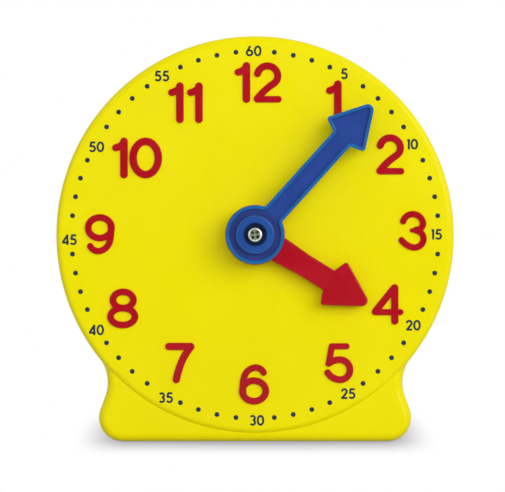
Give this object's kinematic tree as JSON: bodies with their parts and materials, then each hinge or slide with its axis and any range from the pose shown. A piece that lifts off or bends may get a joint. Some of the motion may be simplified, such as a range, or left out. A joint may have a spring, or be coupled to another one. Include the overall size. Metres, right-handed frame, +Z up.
{
  "type": "teaching clock",
  "caption": "Small free-standing teaching clock: round dial with raised hour numerals on a flared base, and two arrow hands geared twelve to one.",
  "frame": {"origin": "middle of the whole clock's footprint, on the surface it stands on", "axes": "+Z up, the dial faces -Y, +X to the right as seen from the front"},
  "size_m": [0.0996, 0.037, 0.1016],
  "materials": {
    "case_plastic": "bright yellow moulded plastic, satin gloss",
    "numeral_plastic": "red, satin gloss",
    "hour_hand_plastic": "red moulded plastic, satin gloss",
    "minute_hand_plastic": "blue moulded plastic, satin gloss",
    "hand_screw_steel": "bright nickel-plated steel",
    "screw_steel": "zinc-plated steel",
    "pin_steel": "ground steel pin",
    "gear_plastic": "natural white acetal"
  },
  "bodies": {
    "case": {"front_shell": "case_plastic", "back_cover": "case_plastic", "case_screws": "screw_steel", "idler_pin": "pin_steel", "numeral_01": "numeral_plastic", "numeral_02": "numeral_plastic", "numeral_03": "numeral_plastic", "numeral_04": "numeral_plastic", "numeral_05": "numeral_plastic", "numeral_06": "numeral_plastic", "numeral_07": "numeral_plastic", "numeral_08": "numeral_plastic", "numeral_09": "numeral_plastic", "numeral_10": "numeral_plastic", "numeral_11": "numeral_plastic", "numeral_12": "numeral_plastic"},
    "minute": {"minute_hand": "minute_hand_plastic", "hand_screw": "hand_screw_steel", "minute_arbor": "gear_plastic"},
    "hour": {"hour_hand": "hour_hand_plastic", "hour_wheel": "gear_plastic"},
    "idler": {"idler_gear": "gear_plastic"}
  },
  "joints": [
    {"name": "minute_spin", "type": "hinge", "parent": "case", "child": "minute", "pos_m": [0, 0, 0.0518], "axis": [0, 1, 0], "continuous": true},
    {"name": "hour_spin", "type": "hinge", "parent": "case", "child": "hour", "pos_m": [0, 0, 0.0518], "axis": [0, 1, 0], "continuous": true},
    {"name": "idler_spin", "type": "hinge", "parent": "case", "child": "idler", "pos_m": [0, 0, 0.0278], "axis": [0, 1, 0], "continuous": true}
  ],
  "couplings": [
    {"joint": "hour_spin", "follows": "minute_spin", "ratio": 0.083333},
    {"joint": "idler_spin", "follows": "minute_spin", "ratio": -0.33333}
  ]
}
